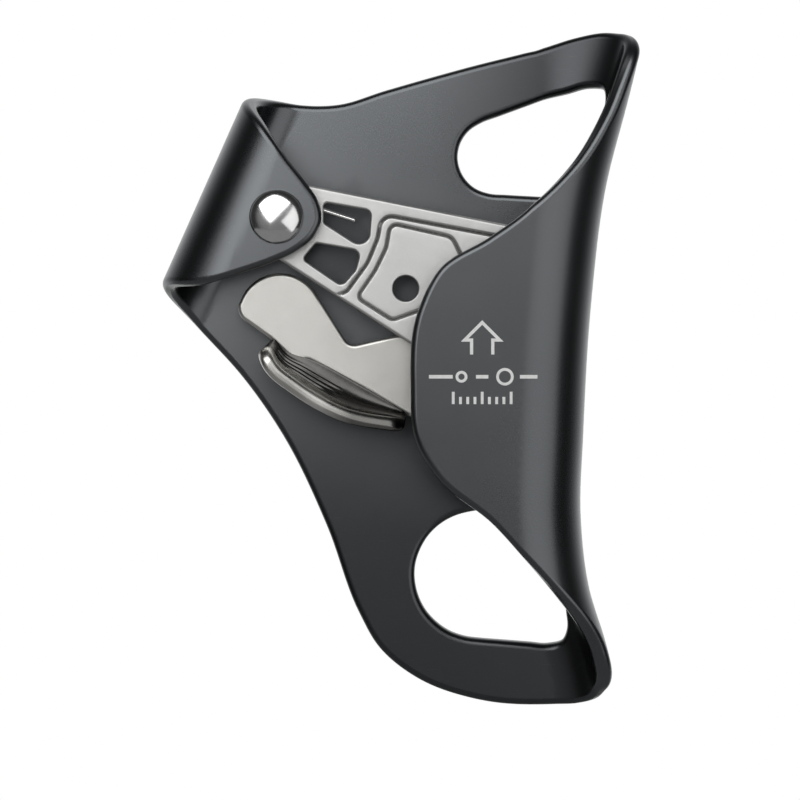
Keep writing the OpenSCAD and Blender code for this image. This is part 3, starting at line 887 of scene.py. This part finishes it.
def tooth(shape, a, y, n=20):
    """One conical tooth with a rounded tip, square to the cam's face."""
    root = polar(spiral_r(a) - 0.3, a) + AXLE
    lean = a - CAM_ANGLE
    axis = np.array([math.cos(lean), 0, -math.sin(lean)])
    across = np.array([math.sin(lean), 0, math.cos(lean)])
    turn = 2 * math.pi * np.arange(n) / n
    ring = np.cos(turn)[:, None] * across + np.sin(turn)[:, None] * np.array([0, 1.0, 0])
    base = np.array([root[0], y, root[1]])
    height = TOOTH_H + 0.3
    rows = [(0, 0.85, 0.5), (height - 0.25, 0.26, 0.5), (height - 0.1, 0.17, 0.75),
            (height - 0.02, 0.06, 0.95)]
    at = [shape.add(base + axis * h + ring * r, ring * math.sqrt(1 - s * s) + axis * s)
          for h, r, s in rows]
    tip = shape.add([base + axis * height], [axis])
    for j in range(len(at) - 1):
        for k in range(n):
            l = (k + 1) % n
            shape.faces.append([at[j] + k, at[j] + l, at[j + 1] + l, at[j + 1] + k])
    for k in range(n):
        shape.faces.append([at[-1] + k, at[-1] + (k + 1) % n, tip])
    shape.faces.append([at[0] + k for k in range(n - 1, -1, -1)])


# ---------- rivet, washers, bushes and pins ----------

def make_axle():
    shape = Shape()
    dome = [(HEAD_R * math.sin(a), -OUTER - HEAD_H * math.cos(a))
            for a in np.linspace(0, math.pi / 2, 33)]
    shank = [(AXLE_R, -OUTER), (AXLE_R, OUTER - 1.2), (AXLE_TAIL_R, OUTER - 0.12),
             (AXLE_TAIL_R - 0.2, OUTER - 0.03), (0, OUTER - 0.03)]
    lathe(shape, AXLE, dome + shank, 96)
    return shape.make("cam_rivet", POLISHED, "frame", "cam_axle")


def turned_piece(name, node, body, at, profile, material, cut=0.12):
    """One small turned piece with its corners cut back."""
    shape = Shape()
    lathe(shape, at, chamfered(profile, cut))
    return shape.make(name, material, body, node)


def ring(r_in, r_out, front, back):
    """Profile of a plain ring."""
    return [(r_in, front), (r_out, front), (r_out, back), (r_in, back)]


def thrust_profile(r_in, r_flat, r_out, bevel, side):
    """Profile of a thrust washer, bevelled where it lies against the sheet."""
    outer, face_y = side * (INNER - 2 * GAP), side * (HUB_Y + GAP)
    return [(r_in, outer), (r_flat, outer), (r_out, outer - side * bevel), (r_out, face_y),
            (r_in, face_y)]


def make_small_pieces():
    turned_piece("front_washer", "front_thrust_washer", "frame", AXLE,
                 thrust_profile(AXLE_R + 0.05, 4.6, 6.4, 0.45, -1), BRONZE)
    turned_piece("rear_washer", "rear_thrust_washer", "frame", AXLE,
                 thrust_profile(POCKET_R + 0.1, 5, 6.8, 0.6, 1), BRONZE, 0.03)
    turned_piece("hub_bush", "cam_bush", "cam", AXLE,
                 ring(AXLE_R + 0.04, BUSH_R, -HUB_Y, HUB_Y), BRONZE, 0.08)
    turned_piece("pin_bush", "trigger_bush", "trigger", PIN,
                 ring(PIN_R + 0.04, PIN_BUSH_R, WEB_BACK + GAP, SPACER_Y - GAP), BRONZE,
                 0.08)
    turned_piece("pin_washer", "trigger_washer", "cam", PIN,
                 ring(PIN_R + 0.02, 4.2, SPACER_Y, SPACER_Y + 0.68), TURNED)
    turned_piece("pin_rivet", "trigger_pin", "cam", PIN,
                 [(0, WEB_Y + 1), (PIN_R, WEB_Y + 1), (PIN_R, SPACER_Y + 0.7),
                  (PIN_R + 1.2, SPACER_Y + 0.7), (PIN_R + 0.8, SPACER_Y + 1.4),
                  (0, SPACER_Y + 1.6)],
                 TURNED)
    turned_piece("stop_pin", "trigger_stop_pin", "cam", STOP,
                 [(0, WEB_Y + 1.45), (STOP_R, WEB_Y + 1.45), (STOP_R, TRIGGER_BACK),
                  (0, TRIGGER_BACK)],
                 TURNED)


# ---------- springs ----------

def coil_points(at, r, start, total, y0, y1, n):
    """Points along a coil about the Y axis through at."""
    t = np.linspace(0, 1, n + 1)
    a = start + total * t
    return np.stack([at[0] + r * np.cos(a), y0 + (y1 - y0) * t, at[1] + r * np.sin(a)], 1)


def make_cam_spring():
    total = 2 * math.pi * COIL_TURNS + ANCHOR_TURN
    end_y = COIL_Y + (COIL_WIRE + 0.08) * total / (2 * math.pi)
    coil = coil_points(AXLE, COIL_R, LEG_FROM, total, COIL_Y, end_y, 44 * COIL_TURNS)
    heading = np.array([math.sin(LEG_FROM), 0, -math.cos(LEG_FROM)])
    leg = [coil[0] + heading * d for d in np.linspace(LEG_LEN, 0.4, 12)]
    a = LEG_FROM + total
    ends = [(end_y + 0.35, 4), (end_y + 0.8, 7), (end_y + 1.4, 8), (ANCHOR_Y - 1, 8), (ANCHOR_Y, 8)]
    tail = [(AXLE[0] + COIL_R * math.cos(a + math.radians(d)), y,
             AXLE[1] + COIL_R * math.sin(a + math.radians(d))) for y, d in ends]
    shape = Shape()
    tube(shape, np.vstack([leg, coil, tail]), COIL_WIRE / 2)
    obj = shape.make("cam_torsion_spring", WIRE, None, "cam_spring")
    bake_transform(obj)
    return obj


def make_trigger_spring():
    start_y = TRIGGER_BACK + 0.2 + PIN_WIRE / 2
    total = 2 * math.pi * PIN_TURNS + math.radians(150)
    end_y = start_y + (PIN_WIRE + 0.06) * total / (2 * math.pi)
    coil = coil_points(PIN, PIN_COIL_R, PIN_LEG_AT, total, start_y, end_y, 36 * PIN_TURNS)
    a = PIN_LEG_AT - math.radians(8)
    foot = [(PIN[0] + PIN_COIL_R * math.cos(a), y, PIN[1] + PIN_COIL_R * math.sin(a))
            for y in (TRIGGER_BACK - 1.2, TRIGGER_BACK - 0.2, start_y - 0.25)]
    last = PIN_LEG_AT + total
    heading = np.array([-math.sin(last), 0, math.cos(last)])
    leg = [coil[-1] + heading * d for d in np.linspace(0.5, 8, 8)]
    shape = Shape()
    tube(shape, np.vstack([foot, coil, leg]), PIN_WIRE / 2)
    obj = shape.make("trigger_torsion_spring", WIRE, None, "trigger_spring")
    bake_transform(obj)
    return obj


# ---------- trigger ----------

def trigger_outline():
    """Outline of the trigger's plate, with its lobe, the tab's root and the pin's boss."""
    return np.vstack([
        arc((-52, -17.6), 3.1, 163.3, 242.4),
        [(-48.6, -23.8), (-45, -27.2), (-42.6, -27.9), (-41.6, -27.6), (-31.5, -33),
         (-21.6, -38.8)],
        arc((-15.6, -32.2), 5.6, -118, -30, 10),
        arc(PIN, 4.5, -8, 104.4),
        arc((-32.55, -22.6), 2.2, -75.6, -142.3, 8),
        arc(LOBE[:2], LOBE[2], 37.7, 163.3, 24)])


tab_root = even(smooth(TAB_ROOT), 0.25)
tab_tip = even(smooth(TAB_TIP), 0.25)


def tab_surface(p):
    """Lays a point of the flattened tab out: x runs along its root, y towards its tip."""
    t = np.clip(p[:, 0] / TAB_L, -0.05, 1.05)
    s = p[:, 1] / TAB_B * math.pi / 2
    at = np.linspace(0, 1, len(tab_root))
    root = np.stack([np.interp(t, at, tab_root[:, k]) for k in (0, 1)], 1)
    at = np.linspace(0, 1, len(tab_tip))
    tip = np.stack([np.interp(t, at, tab_tip[:, k]) for k in (0, 1)], 1)
    h = TAB_HIGH - TAB_FALL * np.clip(t, 0, 1) ** 2.2
    flat = root + (tip - root) * np.sin(s)[:, None]
    y = TRIGGER_Y + TRIGGER_T / 2 - h * (1 - np.cos(s))
    return np.stack([flat[:, 0], y, flat[:, 1]], 1)


def tab_ridges(p):
    """Grooves along the tab's inner face, fading out towards its right end and its edges."""
    along = np.clip((19 - p[:, 0]) / 6, 0, 1) * np.clip((p[:, 0] - 1) / 1.5, 0, 1)
    across = np.clip((p[:, 1] - 2.5) / 1, 0, 1) * np.clip((7.4 - p[:, 1]) / 1.2, 0, 1)
    return RIDGE_H * (1 - np.cos(2 * math.pi * p[:, 1] / RIDGE_STEP)) * along * across


def make_trigger():
    shape = Shape()
    plate(shape, [even(trigger_outline(), 0.5, True), circle(*PIN, PIN_BUSH_R + 0.04)[::-1]],
          TRIGGER_Y, TRIGGER_BACK, [0.75, 0.3], 1.5)
    blank = rounded([(0, -0.6, 0.4), (TAB_L, -0.6, 0.4), (TAB_L, TAB_B, 3), (0, TAB_B, 3)])
    tab = Shape()
    skin(tab, [even(blank, 0.5, True)], tab_surface, TAB_T, [1.2], 0.3, recess=tab_ridges, hollow=1)
    tab.make("trigger_tab", TAB_POLISH_AND_SHADE, "trigger", "trigger")
    return shape.make("trigger_plate", STAMPED, "trigger", "trigger")


# ---------- print on the front flap ----------

def stroke(points, width):
    """Outline of a line of even width through the points, with square corners."""
    p = np.array(points, float)
    d = np.diff(p, axis=0)
    d /= np.linalg.norm(d, axis=1, keepdims=True)
    n = np.stack([-d[:, 1], d[:, 0]], 1)
    side = [n[0]]
    for a, b in zip(n[:-1], n[1:]):
        m = (a + b) / np.linalg.norm(a + b)
        side.append(m / (m @ a))
    side.append(n[-1])
    side = np.array(side) * width / 2
    return np.vstack([p - side, (p + side)[::-1]])


def print_patch(shape, outline, holes=()):
    """A thin flat patch of ink on the front flap."""
    loops = [np.array(outline)] + [np.array(h) for h in holes]
    flat = np.vstack(loops)
    lines, start = [], 0
    for l in loops:
        lines += [(start + k, start + (k + 1) % len(l)) for k in range(len(l))]
        start += len(l)
    out = geometry.delaunay_2d_cdt([Vector(p) for p in flat.tolist()], lines, [], 0, 1e-7)
    spots = np.array([tuple(v) for v in out[0]])
    tris = np.array(out[2])
    tris = tris[inside(spots[tris].mean(1), loops)]
    front, back = INK
    a = shape.add(flat_at(front)(spots), np.tile((0, -1.0, 0), (len(spots), 1)))
    b = shape.add(flat_at(back)(spots), np.tile((0, 1.0, 0), (len(spots), 1)))
    edge = spots[tris]
    turn = np.cross(edge[:, 1] - edge[:, 0], edge[:, 2] - edge[:, 0])
    tris[turn < 0] = tris[turn < 0][:, ::-1]
    shape.faces += (tris + a).tolist() + (tris[:, ::-1] + b).tolist()
    seen = {}
    for t in tris.tolist():
        for k in range(3):
            seen[(t[k], t[(k + 1) % 3])] = True
    for i, j in seen:
        if (j, i) not in seen:
            shape.faces.append([a + j, a + i, b + i, b + j])


def make_print():
    """An arrow that says which way is up, and plain marks for the rope's thickness."""
    shape = Shape()
    arrow = [(-2.05, -6.2), (-2.05, -3.4), (-3.4, -3.4), (0, 0), (3.4, -3.4), (2.05, -3.4),
             (2.05, -6.2)]
    print_patch(shape, stroke(np.array(arrow) + (PRINT_MID, ARROW_TOP), 0.62))
    for offset, r in ((-4.0, 1.15), (4.4, 1.7)):
        x = PRINT_MID + offset
        print_patch(shape, circle(x, RING_ROW, r, 40), [circle(x, RING_ROW, r - 0.55, 40)])
    for offset, w in ((0, 2.4), (-8.0, 4.6), (9.0, 3.4)):
        x = PRINT_MID + offset
        print_patch(shape, stroke([(x - w / 2, RING_ROW), (x + w / 2, RING_ROW)], 0.7))
    for k in range(9):
        x, tall = PRINT_MID + (k - 4) * 1.4, 2.4 if k % 4 == 0 else 1.4
        print_patch(shape, stroke([(x, SCALE_ROW), (x, SCALE_ROW + tall)], 0.55))
    return shape.make("flap_print", PRINT, "frame", None)


# ---------- studio ----------

def make_camera():
    data = bpy.data.cameras.new("camera")
    data.sensor_width = 36
    data.lens = data.sensor_width * -CAMERA_AT[1] / VIEW_WIDTH
    cam = bpy.data.objects.new("camera", data)
    cam.location = Vector(CAMERA_AT) * MM
    cam.rotation_euler = (math.pi / 2, 0, 0)
    data.clip_start, data.clip_end = 0.05, 20
    bpy.context.scene.collection.objects.link(cam)
    bpy.context.scene.camera = cam


# Lights, world and floor are in metres.
PANEL_TILT = math.radians(45)
PANEL_Y = -0.25
PANEL_MID = np.array([0.016, 0.0])
# How bright the surround is that the metal mirrors, by the Y part of the direction.
ROOM_LEVELS = [(-1, 0.2), (-0.75, 0.16), (-0.5, 0.03), (0, 0.03), (0.25, 0.12), (0.5, 0.45),
               (0.8, 1.0)]
FLOOR_R = 3.0
FLOOR_Z = -1.6


def panel_light(name, along, across, radiance):
    """A flat softbox in front of the object. along and across are its ends on a tilted pair of
    axes. The camera looks through the dark gap between the two softboxes."""
    data = bpy.data.lights.new(name, "AREA")
    data.shape = "RECTANGLE"
    data.size, data.size_y = along[1] - along[0], across[1] - across[0]
    data.energy = radiance * math.pi * data.size * data.size_y
    lamp = bpy.data.objects.new(name, data)
    cos, sin = math.cos(PANEL_TILT), math.sin(PANEL_TILT)
    x, z = (PANEL_MID + sum(along) / 2 * np.array([cos, -sin])
            + sum(across) / 2 * np.array([sin, cos]))
    lamp.location = (x, PANEL_Y, z)
    lamp.rotation_mode = "QUATERNION"
    facing = Vector((0, -1, 0)).to_track_quat("Z", "Y")
    lamp.rotation_quaternion = Quaternion((0, 1, 0), PANEL_TILT) @ facing
    lamp.visible_camera = False
    bpy.context.scene.collection.objects.link(lamp)
    return lamp


def make_world():
    """A white surround for the camera, and a soft studio for everything the metal mirrors."""
    world = bpy.data.worlds.new("studio")
    bpy.context.scene.world = world
    world.use_nodes = True
    tree = world.node_tree
    back = tree.nodes["Background"]
    back.inputs["Color"].default_value = (1, 1, 1, 1)
    back.inputs["Strength"].default_value = 1.0
    room = tree.nodes.new("ShaderNodeBackground")
    room.inputs["Strength"].default_value = 1.0
    coords = tree.nodes.new("ShaderNodeTexCoord")
    split = tree.nodes.new("ShaderNodeSeparateXYZ")
    tree.links.new(coords.outputs["Generated"], split.inputs[0])
    ramp = tree.nodes.new("ShaderNodeValToRGB")
    scale = tree.nodes.new("ShaderNodeMapRange")
    scale.inputs["From Min"].default_value = -1
    tree.links.new(split.outputs["Y"], scale.inputs["Value"])
    tree.links.new(scale.outputs["Result"], ramp.inputs[0])
    for _ in ROOM_LEVELS[2:]:
        ramp.color_ramp.elements.new(0.5)
    for stop, (y, level) in zip(ramp.color_ramp.elements, ROOM_LEVELS):
        stop.position = (y + 1) / 2
        stop.color = (level, level, level, 1)
    tree.links.new(ramp.outputs["Color"], room.inputs["Color"])
    path = tree.nodes.new("ShaderNodeLightPath")
    mix = tree.nodes.new("ShaderNodeMixShader")
    tree.links.new(path.outputs["Is Camera Ray"], mix.inputs[0])
    tree.links.new(room.outputs[0], mix.inputs[1])
    tree.links.new(back.outputs[0], mix.inputs[2])
    tree.links.new(mix.outputs[0], tree.nodes["World Output"].inputs["Surface"])


def make_floor():
    mesh = bpy.data.meshes.new("studio_floor")
    turn = np.linspace(0, 2 * math.pi, 64, endpoint=False)
    edge = [(FLOOR_R * math.cos(a), FLOOR_R * math.sin(a), FLOOR_Z) for a in turn]
    mesh.from_pydata(edge, [], [list(range(64))])
    floor = bpy.data.objects.new("studio_floor", mesh)
    bpy.context.scene.collection.objects.link(floor)
    n = Nodes("pale_floor")
    color = n.mix(n.ramp(n.noise(3, 2), 0.3, 0.7, 0, 1), (0.86, 0.86, 0.86), (0.9, 0.9, 0.9))
    mesh.materials.append(n.finish(color, n.ramp(n.noise(40, 2), 0.3, 0.7, 0.7, 0.8), metallic=0.0))


make_camera()
make_world()
make_floor()
make_frame()
make_axle()
make_cam()
make_small_pieces()
make_cam_spring()
make_trigger_spring()
make_trigger()
make_print()

panel_light("key", (-0.4, -0.045), (-0.12, 0.24), 2.05)
panel_light("fill", (0.01, 0.4), (-0.045, 0.26), 0.85)
bpy.context.scene.view_settings.view_transform = "Standard"
